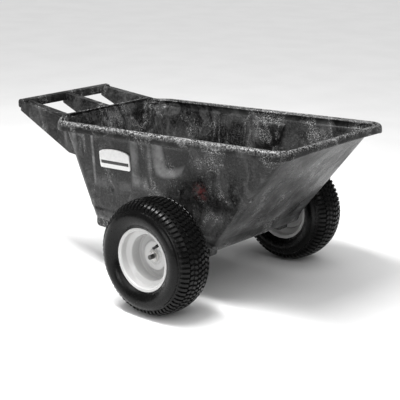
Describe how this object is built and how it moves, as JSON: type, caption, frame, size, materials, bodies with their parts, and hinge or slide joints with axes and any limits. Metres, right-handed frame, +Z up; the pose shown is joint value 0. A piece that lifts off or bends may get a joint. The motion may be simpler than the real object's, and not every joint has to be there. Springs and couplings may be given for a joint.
{
  "type": "garden cart",
  "caption": "Garden cart: moulded tub with a sloping nose, rolled rim and built-in handle frame, on pneumatic wheels that turn on a fixed axle, with a rear rest stand.",
  "frame": {"origin": "on the ground, at the centre of the bounding box in X and Y", "axes": "+X forward, towards the sloping nose; +Y to the cart's left, along the axle; +Z up"},
  "size_m": [1.334, 0.9508, 0.6174],
  "materials": {
    "moulded_plastic": "semi-gloss black moulded polyethylene with paler flow streaks",
    "white_steel": "gloss white enamel",
    "tyre_rubber": "matt black rubber",
    "valve_rubber": "black rubber",
    "black_plastic": "black moulded plastic",
    "bushing_plastic": "natural nylon",
    "zinc_steel": "bright zinc plate",
    "axle_steel": "plain rolled steel, dull",
    "black_steel": "black powder coat",
    "brass": "plain brass",
    "badge_white": "white plate with a dark band, blank"
  },
  "bodies": {
    "cart": {"tub": "moulded_plastic", "axle": "axle_steel", "rest_stand": "black_steel", "badge_plate": "badge_white", "strap_bolts": "zinc_steel", "strap_washers": "zinc_steel", "strap_nuts": "zinc_steel", "stand_bolts": "zinc_steel", "stand_washers": "zinc_steel", "stand_nuts": "zinc_steel", "axle_spacer_left": "zinc_steel", "inner_washer_left": "zinc_steel", "outer_washer_left": "zinc_steel", "cotter_pin_left": "zinc_steel", "axle_strap_left": "zinc_steel", "stand_plate_left": "black_steel", "stand_foot_left": "black_plastic", "axle_spacer_right": "zinc_steel", "inner_washer_right": "zinc_steel", "outer_washer_right": "zinc_steel", "cotter_pin_right": "zinc_steel", "axle_strap_right": "zinc_steel", "stand_plate_right": "black_steel", "stand_foot_right": "black_plastic"},
    "left_wheel": {"rim_barrel_left": "white_steel", "rim_disc_left": "white_steel", "hub_left": "white_steel", "tyre_left": "tyre_rubber", "outer_bushing_left": "bushing_plastic", "inner_bushing_left": "bushing_plastic", "valve_stem_left": "valve_rubber", "valve_core_left": "brass", "valve_cap_left": "black_plastic"},
    "right_wheel": {"rim_barrel_right": "white_steel", "rim_disc_right": "white_steel", "hub_right": "white_steel", "tyre_right": "tyre_rubber", "outer_bushing_right": "bushing_plastic", "inner_bushing_right": "bushing_plastic", "valve_stem_right": "valve_rubber", "valve_core_right": "brass", "valve_cap_right": "black_plastic"}
  },
  "joints": [
    {"name": "left_wheel_spin", "type": "hinge", "parent": "cart", "child": "left_wheel", "pos_m": [0.201, 0.39, 0.2032], "axis": [0, 1, 0], "continuous": true},
    {"name": "right_wheel_spin", "type": "hinge", "parent": "cart", "child": "right_wheel", "pos_m": [0.201, -0.39, 0.2032], "axis": [0, 1, 0], "continuous": true}
  ]
}
